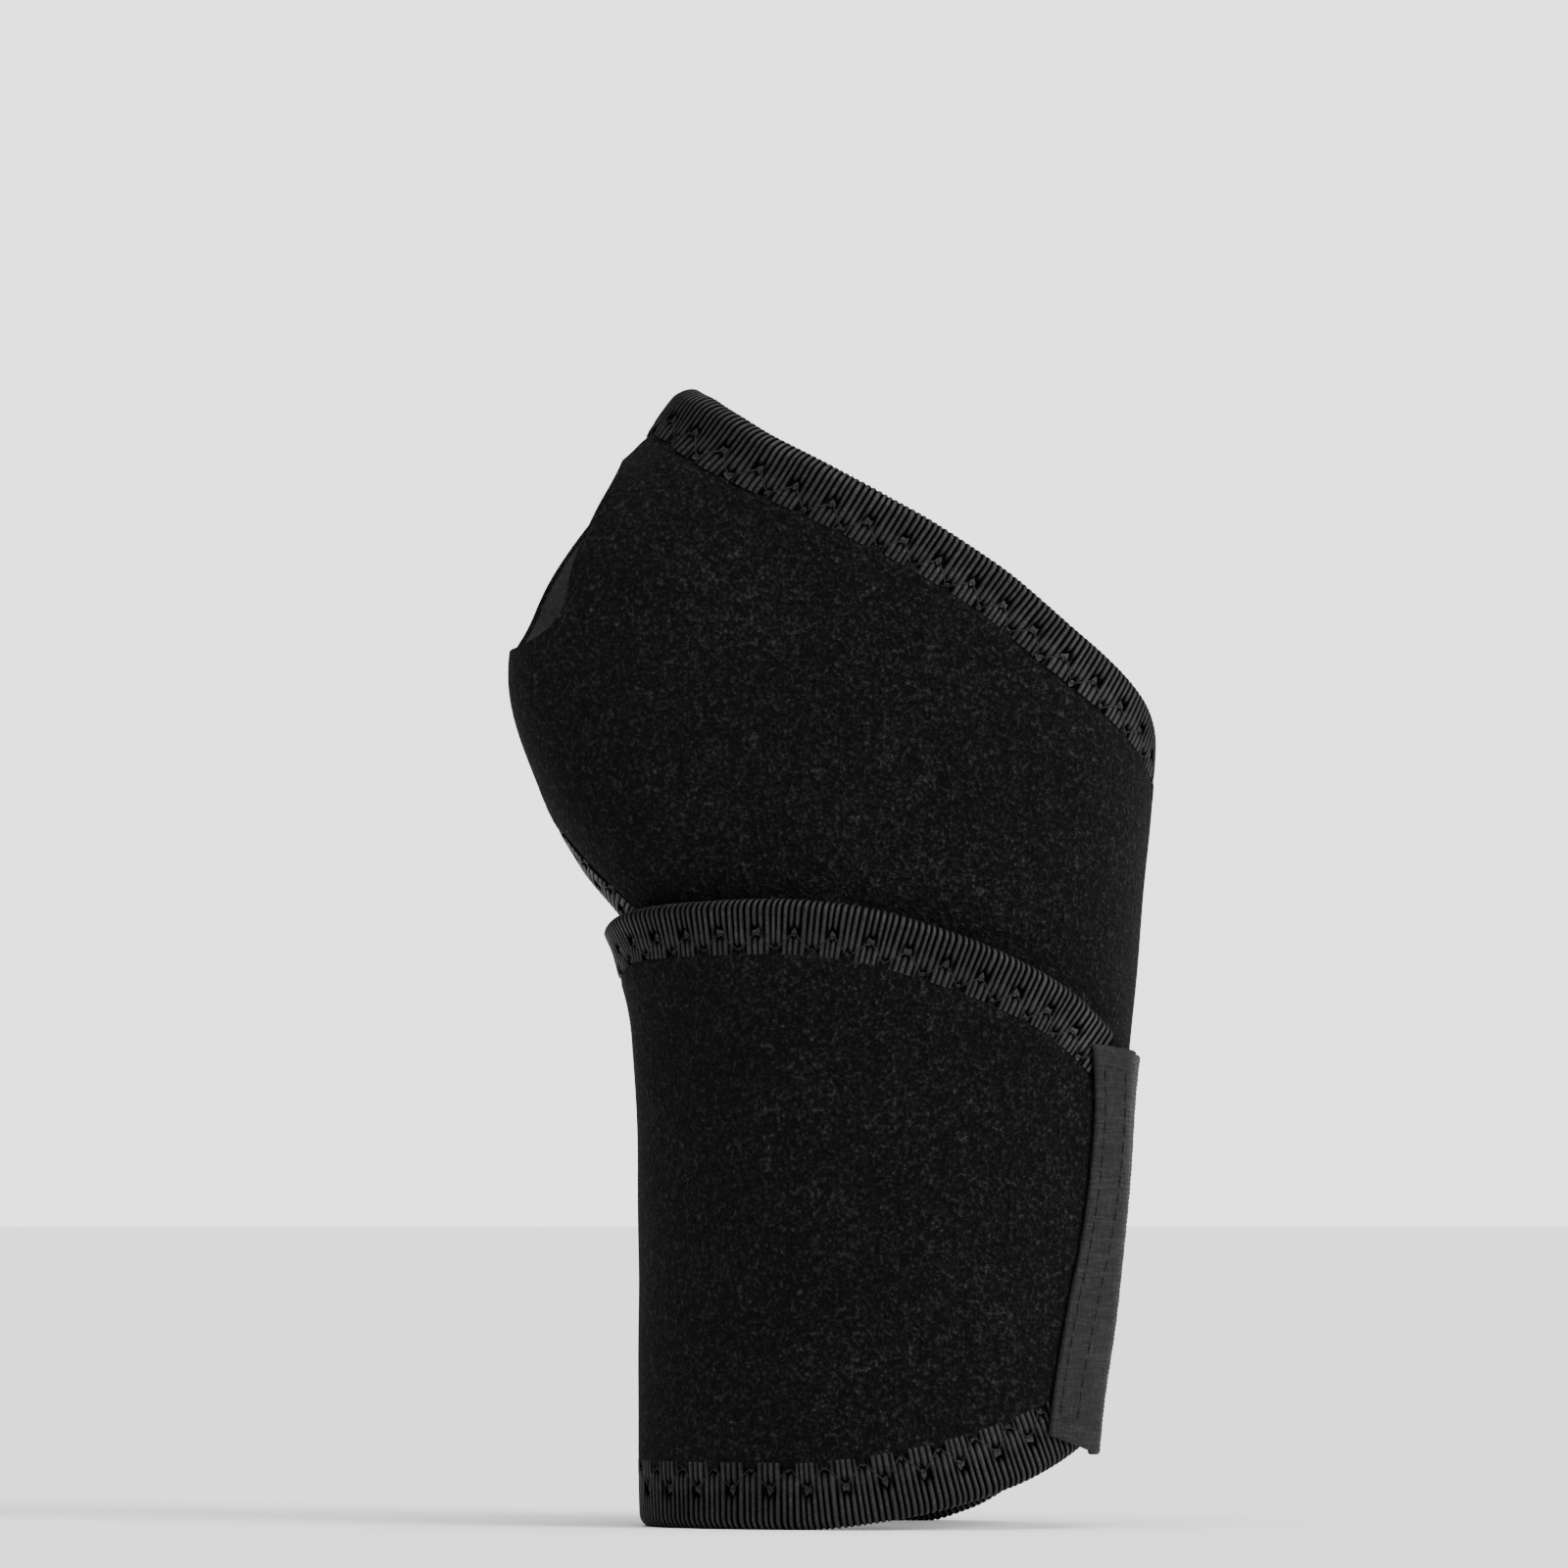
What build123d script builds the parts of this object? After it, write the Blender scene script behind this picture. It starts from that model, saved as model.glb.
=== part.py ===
from build123d import *
import math
import os

os.makedirs("parts", exist_ok=True)

# A wrist support brace: one strip of foam laminate, wound in a spiral round hand and wrist.
# Millimetres. +X is the little-finger side, +Y the palm side, +Z towards the fingers.
# The origin is on the surface that the lower hem stands on, below the middle of the brace.
# Places on the strip are given by the winding angle, in degrees round the wrist axis, and the
# height. The strip starts on the palm, passes the thumb side at 180, the back of the hand at 270,
# the little-finger side at 360, the palm at 450 and the thumb side of the wrist at 540, and its
# outer end crosses the back of the wrist at 630.

# ---- driving dimensions -------------------------------------------------------------------
AXIS_X = 6.95                   # the wrist axis, from the middle of the brace
AXIS_Y = 0.08
SQUARENESS = 2.4                # exponent of the superellipse that the wrist's section is

# half-widths of the wrist and hand inside the brace: (height, distance from the wrist axis)
THUMB_SIDE = [(0, 27.4), (45, 27.6), (70, 28.7), (81, 31.2), (88, 35.6), (94, 40.1), (105, 46.2),
              (122, 50.8), (134, 48.8), (146, 42.5), (155, 31.9), (160, 28.4), (165, 24.5)]
LITTLE_SIDE = [(0, 24.6), (15, 26.7), (30, 29.0), (45, 30.8), (62, 32.2), (70, 32.9), (90, 34.4),
               (110, 36.2), (165, 37.4)]
BACK_SIDE = [(0, 21.0), (45, 22.3), (85, 22.5), (110, 21.5), (135, 19.0), (165, 14.5)]
PALM_SIDE = [(0, 22.0), (45, 23.0), (80, 24.0), (106, 27.0), (125, 27.0), (150, 22.0), (165, 16.0)]

# the laminate, from the skin outwards
LINING = 0.4
FOAM = 1.8
FACE = 0.8
GLUE = 0.03                     # gap between the layers
LAMINATE = LINING + FOAM + FACE
CLEARANCE = 0.35                # between pieces that can move apart

# the binding tape, folded over each edge, with its row of zigzag stitches sunk in it
TAPE = 0.55
TAPE_WIDTH = 7.5
STITCH_BAND = 3.4
STITCH_DEPTH = 0.25

# winding angles of the strip
LOBE_END = 104                  # free end of the strip, on the palm
LOBE_ROOT = 142                 # where the rounded lobe meets the hand section
SEAM = 345                      # where the hand section turns into the wrist section
FOLD = 578                      # fold line of the strap when it is opened
FLEX = 630                      # where the opened strap bends again
STRAP_END = 690                 # the strap ends under the tab
TAB_START = 683.5
TAB_PEEL = 692.5                # fold line of the tab
TAB_END = 738
TAB_TILT = 4.8                  # the tab's two short ends lean by this from the wrist axis

# upper and lower edge of the strip: (winding angle, height)
HEM = 0.45
HAND_TOP = [(LOBE_ROOT, 157.0), (160, 160.6), (186, 162.6), (200, 161.1), (210, 158.8), (225, 154.9),
            (250, 150.1), (270, 146.5), (290, 142.5), (310, 136.4), (330, 126.4), (345, 118.6),
            (360, 111.5)]
WRIST_TOP = [(345, 118.6), (360, 111.5), (380, 105.0), (410, 97.5), (450, 91.5), (500, 86.8),
             (535, 84.2), (550, 85.2), (565, 87.4), (578, 88.2)]
STRAP_TOP = [(578, 88.2), (600, 88.6), (615, 88.1), (630, 86.8), (641, 85.2), (653, 83.1), (665, 80.3),
             (677, 76.6), (689, 70.6), (697, 66.0)]
HAND_BOTTOM = [(LOBE_ROOT, 104.6), (160, 103.6), (168, 101.5), (174, 98.2), (180, 92.8), (186, 87.6),
               (200, 76.5), (235, 59), (270, 43), (305, 27), (335, 16.4), (345, 14.4)]
WRIST_BOTTOM = [(345, 14.4), (360, 13.0), (380, 11.0), (400, 7.0), (420, 2.2), (435, HEM), (578, HEM)]
STRAP_BOTTOM = [(578, HEM), (605, HEM), (618, 0.9), (630, 1.7), (650, 3.7), (668, 6.6), (680, 9.4),
                (697, 14.0)]
TAB_TOP = [(TAB_START - 12, 69.4), (TAB_START, 68.6), (710, 66.6), (TAB_END + 9, 64.4)]
TAB_BOTTOM = [(TAB_START - 12, 13.9), (TAB_START, 11.9), (695, 10.4), (710, 10.2), (TAB_END + 9, 10.0)]

# how far the strip's inner face stands off the skin: (winding angle, distance)
STRAP_LIFT = LAMINATE + 2 * TAPE + CLEARANCE
LIFT = [(LOBE_END, 0), (380, 0), (500, 0.6), (528, 1.5), (545, STRAP_LIFT), (558, STRAP_LIFT + 0.5),
        (576, STRAP_LIFT), (760, STRAP_LIFT)]

# the tab: woven tape with a field of hooks, over the strap's end and down onto the hand section
TAB_TAPE = 0.8
HOOKS = 0.6
TAB_SEWN_LIFT = STRAP_LIFT + LAMINATE + TAPE + 0.05
TAB_FREE_LIFT = LAMINATE + TAPE + CLEARANCE + HOOKS
TAB_LIFT = [(TAB_START, TAB_SEWN_LIFT), (TAB_PEEL, TAB_SEWN_LIFT), (708, TAB_FREE_LIFT),
            (760, TAB_FREE_LIFT)]

# the rounded lobe on the palm, seen square on
LOBE_TIP_X = AXIS_X - 7.3
LOBE_TOP = 151
LOBE_LOW = 104.6
LOBE_RADIUS = 20

# the thumb hole: a long oval cut through the thumb side
HOLE_LENGTH = 31.8
HOLE_WIDTH = 23
HOLE_CORNER = 9
HOLE_MIDDLE = (AXIS_X - 44, AXIS_Y + 0.2, 139)
HOLE_ALONG = (0.46, 0.14, 0.88)
HOLE_OUT = (-0.88, 0, 0.46)

STEP = 6                        # largest winding angle between two sections
HAND_STEP = 3.5                 # the same in the hand section, where the edges are steep
EPS = 0.02                      # gap between pieces that are sewn or glued together
FOLD_GAP = 0.3                  # winding angle left free on each side of a fold line
REACH = 40                      # more than the depth of any cut


# ---- shape of the winding -----------------------------------------------------------------
def along(curve, at):
    """Value of a smooth curve through (place, value) pairs, flat beyond its ends."""
    xs = [p[0] for p in curve]
    ys = [p[1] for p in curve]
    if at <= xs[0]:
        return ys[0]
    if at >= xs[-1]:
        return ys[-1]
    rise = [(ys[i + 1] - ys[i]) / (xs[i + 1] - xs[i]) for i in range(len(xs) - 1)]
    slope = [rise[0]]
    for a, b in zip(rise, rise[1:]):
        slope.append(0 if a * b <= 0 else 2 * a * b / (a + b))
    slope.append(rise[-1])
    i = max(k for k in range(len(xs) - 1) if xs[k] <= at)
    span = xs[i + 1] - xs[i]
    t = (at - xs[i]) / span
    return ((1 + 2 * t) * (1 - t) ** 2 * ys[i] + t * (1 - t) ** 2 * span * slope[i]
            + t * t * (3 - 2 * t) * ys[i + 1] + t * t * (t - 1) * span * slope[i + 1])


def skin(angle, height):
    """Distance from the wrist axis to the skin side of the innermost layer."""
    c = math.cos(math.radians(angle))
    s = math.sin(math.radians(angle))
    across = along(LITTLE_SIDE if c > 0 else THUMB_SIDE, height)
    deep = along(PALM_SIDE if s > 0 else BACK_SIDE, height)
    return (abs(c / across) ** SQUARENESS + abs(s / deep) ** SQUARENESS) ** (-1 / SQUARENESS)


def lift(angle):
    return along(LIFT, angle)


def tab_lift(angle):
    return along(TAB_LIFT, angle)


def slope_factor(curve, angle):
    """How much longer than its width a slanted band is along the height."""
    rise = (along(curve, angle + 2) - along(curve, angle - 2)) / 4
    per_mm = rise / (math.radians(1) * (skin(angle, along(curve, angle)) + LAMINATE))
    return math.sqrt(1 + per_mm ** 2)


def radial(angle):
    """Plane through the wrist axis at a winding angle: x outwards, y up."""
    c = math.cos(math.radians(angle))
    s = math.sin(math.radians(angle))
    return Plane(origin=(AXIS_X, AXIS_Y, 0), x_dir=(c, s, 0), z_dir=(s, -c, 0))


def stations(start, end, step):
    count = math.ceil((end - start) / step)
    return [start + (end - start) * i / count for i in range(count + 1)]


def levels(angle, top, bottom):
    """Heights of the points of a section: both edges, the bands that the tape covers, and between."""
    high = along(top, angle)
    low = along(bottom, angle)
    high_leg = high - TAPE_WIDTH * slope_factor(top, angle)
    low_leg = low + TAPE_WIDTH * slope_factor(bottom, angle)
    between = [low_leg + (high_leg - low_leg) * i / 4 for i in range(1, 4)]
    return [low, low_leg] + between + [high_leg, high]


def layer_section(angle, top, bottom, inner, outer, stand_off):
    """Closed outline of one layer in a radial plane, between two distances from the skin side."""
    heights = levels(angle, top, bottom)
    base = stand_off(angle)
    rising = [(skin(angle, z) + base + inner, z) for z in heights]
    falling = [(skin(angle, z) + base + outer, z) for z in reversed(heights)]
    return rising + falling


def tape_section(angle, edge, inward, stand_off):
    """Outline of folded tape over an edge: inward is -1 below an upper edge, +1 above a lower one."""
    z_edge = along(edge, angle)
    stretch = slope_factor(edge, angle)
    z_leg = z_edge + inward * TAPE_WIDTH * stretch
    z_step = z_edge + inward * (TAPE_WIDTH - STITCH_BAND) * stretch
    z_out = z_edge - inward * TAPE
    z_in = z_edge - inward * EPS
    base = stand_off(angle)

    def reach(z, gap):
        share = (z - z_edge) / (z_leg - z_edge)
        on_leg = skin(angle, z_edge) + (skin(angle, z_leg) - skin(angle, z_edge)) * share
        return on_leg + base + gap

    back = LAMINATE + EPS
    return [(reach(z_leg, back), z_leg), (reach(z_in, back), z_in), (reach(z_in, -EPS), z_in),
            (reach(z_leg, -EPS), z_leg), (reach(z_leg, -TAPE), z_leg),
            (reach(z_edge, -TAPE), z_edge), (reach(z_out, -TAPE * 0.3), z_out),
            (reach(z_out, LAMINATE + TAPE * 0.3), z_out), (reach(z_edge, LAMINATE + TAPE), z_edge),
            (reach(z_step, LAMINATE + TAPE), z_step),
            (reach(z_step, LAMINATE + TAPE - STITCH_DEPTH), z_step),
            (reach(z_leg, LAMINATE + TAPE - STITCH_DEPTH), z_leg)]


def stitch_section(angle, edge, inward, stand_off):
    """Outline of the band that the zigzag thread fills in the tape."""
    z_edge = along(edge, angle)
    stretch = slope_factor(edge, angle)
    z_leg = z_edge + inward * (TAPE_WIDTH - 0.1) * stretch
    z_step = z_edge + inward * (TAPE_WIDTH - STITCH_BAND + 0.1) * stretch
    z_far = z_edge + inward * TAPE_WIDTH * stretch
    base = stand_off(angle)

    def reach(z, gap):
        share = (z - z_edge) / (z_far - z_edge)
        on_leg = skin(angle, z_edge) + (skin(angle, z_far) - skin(angle, z_edge)) * share
        return on_leg + base + gap

    low = LAMINATE + TAPE - STITCH_DEPTH + EPS
    high = LAMINATE + TAPE
    return [(reach(z_leg, low), z_leg), (reach(z_step, low), z_step),
            (reach(z_step, high), z_step), (reach(z_leg, high), z_leg)]


def sections(outline, start, end, step=STEP):
    """The faces to loft through: an outline drawn in the radial plane of every station."""
    faces = []
    for angle in stations(start, end, step):
        with BuildSketch(radial(angle)) as section:
            with BuildLine():
                Polyline(*outline(angle), close=True)
            make_face()
        faces.append(section.sketch.face())
    return faces


def finish(part, label):
    part.label = label
    export_step(part, f"parts/{label}.step")
    print(label, round(part.volume, 1), len(part.solids()), part.is_valid)


# ---- the strip's four stretches -----------------------------------------------------------
LAYERS = [("lining", 0, LINING - GLUE),
          ("foam_core", LINING, LINING + FOAM - GLUE),
          ("face_fabric", LINING + FOAM, LAMINATE)]
STRETCHES = [("hand", LOBE_ROOT + EPS, SEAM - EPS, HAND_TOP, HAND_BOTTOM),
             ("wrist", SEAM + EPS, FOLD - FOLD_GAP, WRIST_TOP, WRIST_BOTTOM),
             ("strap_inner", FOLD + FOLD_GAP, FLEX - FOLD_GAP, STRAP_TOP, STRAP_BOTTOM),
             ("strap_outer", FLEX + FOLD_GAP, STRAP_END, STRAP_TOP, STRAP_BOTTOM)]


def hole_outline():
    with BuildSketch(Plane(origin=HOLE_MIDDLE, x_dir=HOLE_ALONG, z_dir=HOLE_OUT)) as hole:
        RectangleRounded(HOLE_LENGTH, HOLE_WIDTH, HOLE_CORNER)
    return hole.sketch


for stretch, start, end, top, bottom in STRETCHES:
    step = HAND_STEP if stretch == "hand" else STEP
    for layer, inner, outer in LAYERS:
        with BuildPart() as laminate_layer:
            loft(sections(lambda a: layer_section(a, top, bottom, inner, outer, lift), start, end, step))
            if stretch == "hand":
                extrude(hole_outline(), amount=REACH / 2, both=True, mode=Mode.SUBTRACT)
        finish(laminate_layer.part, f"{stretch}_{layer}")
    for side, edge, inward in (("upper", top, -1), ("lower", bottom, 1)):
        with BuildPart() as binding:
            loft(sections(lambda a: tape_section(a, edge, inward, lift), start, end, step))
            split(bisect_by=Plane.XY, keep=Keep.TOP)
        finish(binding.part, f"{stretch}_{side}_binding")
        with BuildPart() as stitching:
            loft(sections(lambda a: stitch_section(a, edge, inward, lift), start, end, step))
        finish(stitching.part, f"{stretch}_{side}_stitching")


# ---- the rounded lobe on the palm ---------------------------------------------------------
def lobe_outline(grow):
    """The lobe's outline seen along Y, grown or shrunk; it runs on past the lobe's root."""
    root_top = along(HAND_TOP, LOBE_ROOT)
    out = skin(LOBE_ROOT, root_top) + LAMINATE / 2
    slope = (root_top - LOBE_TOP) / (LOBE_TIP_X - AXIS_X - out * math.cos(math.radians(LOBE_ROOT)))
    root_x = AXIS_X - 2 * REACH
    top_rise = slope * (LOBE_TIP_X - root_x)
    with BuildSketch(Plane.XZ) as outline:
        with BuildLine():
            FilletPolyline((root_x, LOBE_LOW), (LOBE_TIP_X, LOBE_LOW), (LOBE_TIP_X, LOBE_TOP),
                           (root_x, LOBE_TOP + top_rise), radius=LOBE_RADIUS)
            Line((root_x, LOBE_TOP + top_rise), (root_x, LOBE_LOW))
        make_face()
        offset(amount=grow)
    return outline.sketch


def lobe_shell(inner, outer):
    """Sections of a shell that is taller and longer than the lobe, to be cut to its outline."""
    tall = [(0, LOBE_TOP + 16)]
    low = [(0, LOBE_LOW - 8)]
    return sections(lambda a: layer_section(a, tall, low, inner, outer, lift),
                    LOBE_END - 6, LOBE_ROOT - EPS)


for layer, inner, outer in LAYERS:
    with BuildPart() as lobe_layer:
        loft(lobe_shell(inner, outer))
        extrude(lobe_outline(0), amount=REACH, both=True, mode=Mode.INTERSECT)
    finish(lobe_layer.part, f"lobe_{layer}")

with BuildPart() as lobe_laminate:
    loft(lobe_shell(-EPS, LAMINATE + EPS))
    extrude(lobe_outline(EPS), amount=REACH, both=True, mode=Mode.INTERSECT)

with BuildPart() as lobe_groove:
    loft(lobe_shell(LAMINATE + TAPE - STITCH_DEPTH, LAMINATE + 2 * TAPE))
    extrude(lobe_outline(STITCH_BAND - TAPE_WIDTH), amount=REACH, both=True, mode=Mode.INTERSECT)

with BuildPart() as lobe_binding:
    loft(lobe_shell(-TAPE, LAMINATE + TAPE))
    extrude(lobe_outline(TAPE), amount=REACH, both=True, mode=Mode.INTERSECT)
    extrude(lobe_outline(-TAPE_WIDTH), amount=REACH, both=True, mode=Mode.SUBTRACT)
    add(lobe_laminate.part, mode=Mode.SUBTRACT)
    add(lobe_groove.part, mode=Mode.SUBTRACT)
finish(lobe_binding.part, "lobe_binding")

with BuildPart() as lobe_stitching:
    loft(lobe_shell(LAMINATE + TAPE - STITCH_DEPTH + EPS, LAMINATE + TAPE))
    extrude(lobe_outline(STITCH_BAND - TAPE_WIDTH - 0.1), amount=REACH, both=True, mode=Mode.INTERSECT)
    extrude(lobe_outline(0.1 - TAPE_WIDTH), amount=REACH, both=True, mode=Mode.SUBTRACT)
finish(lobe_stitching.part, "lobe_stitching")


# ---- the hook tape tab --------------------------------------------------------------------
def tab_piece(start, end, inner, outer, inset=0.0):
    """Sections of a stretch of the tab between two distances from its inner face."""
    high = [(a, z - inset) for a, z in TAB_TOP]
    low = [(a, z + inset) for a, z in TAB_BOTTOM]
    return sections(lambda a: layer_section(a, high, low, inner, outer, tab_lift), start, end)


def tab_end_plane(angle, inset=0.0):
    """Plane of a short end of the tab, facing on along the winding, moved back by inset."""
    along_tab = radial(angle).z_dir * -1
    lean = Vector(0, 0, 1) * math.sin(math.radians(TAB_TILT))
    middle = AXIS_X, AXIS_Y, TAB_TOP[1][1]
    radius = skin(angle, TAB_TOP[1][1])
    outwards = radial(angle).x_dir
    origin = Vector(*middle) + outwards * radius - along_tab * inset
    return Plane(origin=origin, z_dir=along_tab * math.cos(math.radians(TAB_TILT)) - lean)


with BuildPart() as tab_sewn_tape:
    loft(tab_piece(TAB_START - 12, TAB_PEEL - FOLD_GAP, 0, TAB_TAPE))
    split(bisect_by=tab_end_plane(TAB_START), keep=Keep.TOP)
finish(tab_sewn_tape.part, "tab_sewn_tape")

with BuildPart() as tab_free_tape:
    loft(tab_piece(TAB_PEEL + FOLD_GAP, TAB_END + 8, 0, TAB_TAPE))
    split(bisect_by=tab_end_plane(TAB_END), keep=Keep.BOTTOM)
finish(tab_free_tape.part, "tab_free_tape")

with BuildPart() as tab_hooks:
    loft(tab_piece(TAB_PEEL + FOLD_GAP, TAB_END + 8, -HOOKS, -EPS, 1))
    split(bisect_by=tab_end_plane(TAB_END, 1), keep=Keep.BOTTOM)
finish(tab_hooks.part, "tab_hooks")

with BuildPart() as stitch_box_inside:
    loft(tab_piece(TAB_START - 12, TAB_PEEL - FOLD_GAP, 0, 3 * TAB_TAPE, 3.4))
    split(bisect_by=tab_end_plane(TAB_START, -2.1), keep=Keep.TOP)
    split(bisect_by=tab_end_plane(TAB_START, -4.2), keep=Keep.BOTTOM)

with BuildPart() as tab_stitching:
    loft(tab_piece(TAB_START - 12, TAB_PEEL - FOLD_GAP, TAB_TAPE + EPS, TAB_TAPE + STITCH_DEPTH, 2.6))
    split(bisect_by=tab_end_plane(TAB_START, -1.3), keep=Keep.TOP)
    split(bisect_by=tab_end_plane(TAB_START, -5.0), keep=Keep.BOTTOM)
    add(stitch_box_inside.part, mode=Mode.SUBTRACT)
finish(tab_stitching.part, "tab_stitching")
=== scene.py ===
import bpy
import math
import numpy as np
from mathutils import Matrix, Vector


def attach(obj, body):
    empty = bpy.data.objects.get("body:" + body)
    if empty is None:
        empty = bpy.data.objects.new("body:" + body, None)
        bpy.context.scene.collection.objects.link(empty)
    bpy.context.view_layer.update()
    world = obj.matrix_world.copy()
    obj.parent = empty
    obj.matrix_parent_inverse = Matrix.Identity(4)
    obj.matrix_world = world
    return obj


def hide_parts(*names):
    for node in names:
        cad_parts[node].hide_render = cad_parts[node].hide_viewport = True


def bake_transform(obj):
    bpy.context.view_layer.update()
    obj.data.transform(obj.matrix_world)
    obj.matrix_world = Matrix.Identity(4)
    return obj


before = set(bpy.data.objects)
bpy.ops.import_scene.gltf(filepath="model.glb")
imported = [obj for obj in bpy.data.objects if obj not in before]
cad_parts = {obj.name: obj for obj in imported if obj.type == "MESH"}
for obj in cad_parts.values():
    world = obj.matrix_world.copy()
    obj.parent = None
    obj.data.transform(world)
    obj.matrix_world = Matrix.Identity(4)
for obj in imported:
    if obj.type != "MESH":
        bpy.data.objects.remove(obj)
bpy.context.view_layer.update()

# A wrist support brace: a strip of foam laminate wound in a spiral round hand and wrist.
# Metres. A place on the strip is a winding angle, in degrees round the wrist axis, a height, and
# a distance out from the skin. The strip starts on the palm, passes the thumb side at 180, the
# back of the hand at 270, the little-finger side at 360, the palm at 450, the thumb side of the
# wrist at 540, and its outer end crosses the back of the wrist at 630.

# ---- the winding, as the frame has it -----------------------------------------------------
AXIS = np.array([0.00695, 0.00008])
SQUARENESS = 2.4                # exponent of the rounded cross-section

# How far the skin is from the wrist axis on four sides, each as height and distance.
THUMB_SIDE = [(0, 0.0274), (0.045, 0.0276), (0.070, 0.0287), (0.081, 0.0312), (0.088, 0.0356),
              (0.094, 0.0401), (0.105, 0.0462), (0.122, 0.0508), (0.134, 0.0488), (0.146, 0.0425),
              (0.155, 0.0319), (0.160, 0.0284), (0.165, 0.0245)]
LITTLE_SIDE = [(0, 0.0246), (0.015, 0.0267), (0.030, 0.0290), (0.045, 0.0308), (0.062, 0.0322),
               (0.070, 0.0329), (0.090, 0.0344), (0.110, 0.0362), (0.165, 0.0374)]
BACK_SIDE = [(0, 0.0210), (0.045, 0.0223), (0.085, 0.0225), (0.110, 0.0215), (0.135, 0.0190),
             (0.165, 0.0145)]
PALM_SIDE = [(0, 0.0220), (0.045, 0.0230), (0.080, 0.0240), (0.106, 0.0270), (0.125, 0.0270),
             (0.150, 0.0220), (0.165, 0.0160)]

# Winding angles.
STRIP_START = 98                # short of the lobe's tip
LOBE_ROOT = 142
THUMB = 180
WRIST_START = 400
FOLD_START = 515
STRAP_START = 604
TAB_START = 679
STRAP_END = 690
TAB_PEEL = 692.5
TAB_END = 738

HEM = 0.00045                   # height of the strip's lowest edge
MEAN_RADIUS = 0.034             # of the winding, to turn angles into distances along the strip

# Edges as winding angle and height.
UPPER_EDGE = [(STRIP_START, 0.1525), (LOBE_ROOT, 0.1570), (160, 0.1606), (186, 0.1626),
              (200, 0.1611), (210, 0.1588), (225, 0.1549), (250, 0.1501), (270, 0.1465),
              (290, 0.1425), (310, 0.1364), (330, 0.1264), (345, 0.1186), (360, 0.1115),
              (380, 0.1050), (410, 0.0975), (450, 0.0915), (500, 0.0868), (535, 0.0842),
              (550, 0.0852), (565, 0.0874), (578, 0.0882), (600, 0.0886), (615, 0.0881),
              (630, 0.0868), (641, 0.0852), (653, 0.0831), (665, 0.0803), (677, 0.0766),
              (689, 0.0706), (697, 0.0660)]
LOWER_EDGE = [(STRIP_START, 0.1035), (LOBE_ROOT, 0.1046), (160, 0.1036), (168, 0.1015),
              (174, 0.0982), (180, 0.0928), (186, 0.0876), (200, 0.0765), (235, 0.0590),
              (270, 0.0430), (305, 0.0270), (335, 0.0164), (345, 0.0144), (360, 0.0130),
              (380, 0.0110), (400, 0.0070), (420, 0.0022), (435, HEM), (605, HEM), (618, 0.0009),
              (630, 0.0017), (650, 0.0037), (668, 0.0066), (680, 0.0094), (697, 0.0140)]
TAB_TOP = [(671.5, 0.0694), (683.5, 0.0686), (695, 0.0678), (710, 0.0674), (747, 0.0668)]
TAB_LOW = [(671.5, 0.0139), (683.5, 0.0119), (695, 0.0104), (710, 0.0102), (747, 0.0100)]
TAB_LEFT = [(0.0050, 674.6), (0.0133, 675.0), (0.0220, 676.1), (0.0326, 678.8), (0.0400, 681.2),
            (0.0500, 683.1), (0.0580, 683.8), (0.0700, 682.2)]      # as height and winding angle

# ---- the laminate, the tape and the thread ------------------------------------------------
LINING = 0.0004
FACE_INSIDE = 0.0022            # distance out to the inner side of the face fabric
LAMINATE = 0.0030               # thickness of all three layers
GLUE = 0.00003                  # gap between two layers
HEM_IN = 0.0008                 # how far the laminate ends inside the fold of its tape
STRAP_LIFT = 0.00445            # how far out the strap lies, to clear the layer it covers
LIFT = [(STRIP_START, 0), (380, 0), (500, 0.0006), (528, 0.0015), (545, STRAP_LIFT),
        (558, STRAP_LIFT + 0.0005), (576, STRAP_LIFT), (760, STRAP_LIFT)]

TAPE = 0.00050                  # thickness of the binding tape
TAPE_WIDTH = 0.0074             # each leg, from the fold
PRESS_OUT = 0.00045             # how far the tape presses the laminate's outer face in
PRESS_IN = 0.00020              # and its inner face
RIB = 0.0009                    # pitch of the tape's ribs
RIB_HEIGHT = 0.00026
LEG_POINTS = 20                 # across each leg of the tape
STITCH = 0.0056                 # one full zigzag
STITCH_LOW = 0.0042             # the zigzag's two rows, from the fold
STITCH_HIGH = 0.0069
THREAD = 0.00015                # radius
THREAD_SUNK = 0.00022           # how deep the thread lies in the tape
THREAD_PULLED = 0.00034         # and how much deeper at each turn
CREASE_DEPTH = 0.00012          # of the tape under the thread
CREASE_RADIUS = 0.00040
DENT_DEPTH = 0.00042            # of the tape at each turn
DENT_RADIUS = 0.00085
DENT_REACH = 0.0034             # how far along the edge from a turn the tape can change

TAB_TAPE = 0.0008               # thickness of the tab
TAB_ALONG = 0.0344              # its size along the strip
TAB_HIGH = 0.0564               # and up it
TAB_SEWN = STRAP_LIFT + LAMINATE + 0.00025
TAB_FREE = LAMINATE + 0.0007
TAB_LIFT = [(671, TAB_SEWN), (TAB_PEEL - 1.5, TAB_SEWN), (708, TAB_FREE), (760, TAB_FREE)]
TAB_TILT = math.radians(4.8)
TAB_RADIUS = 0.036
TAB_YARNS = (0.00067, 0.0031)   # pitches of its yarns and of its wider bands
TAB_THREAD = 0.00013            # radius
TAB_STITCH = 0.0024
HOOK_PITCH = 0.00125
HOOK_RADIUS = 0.00009

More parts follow.
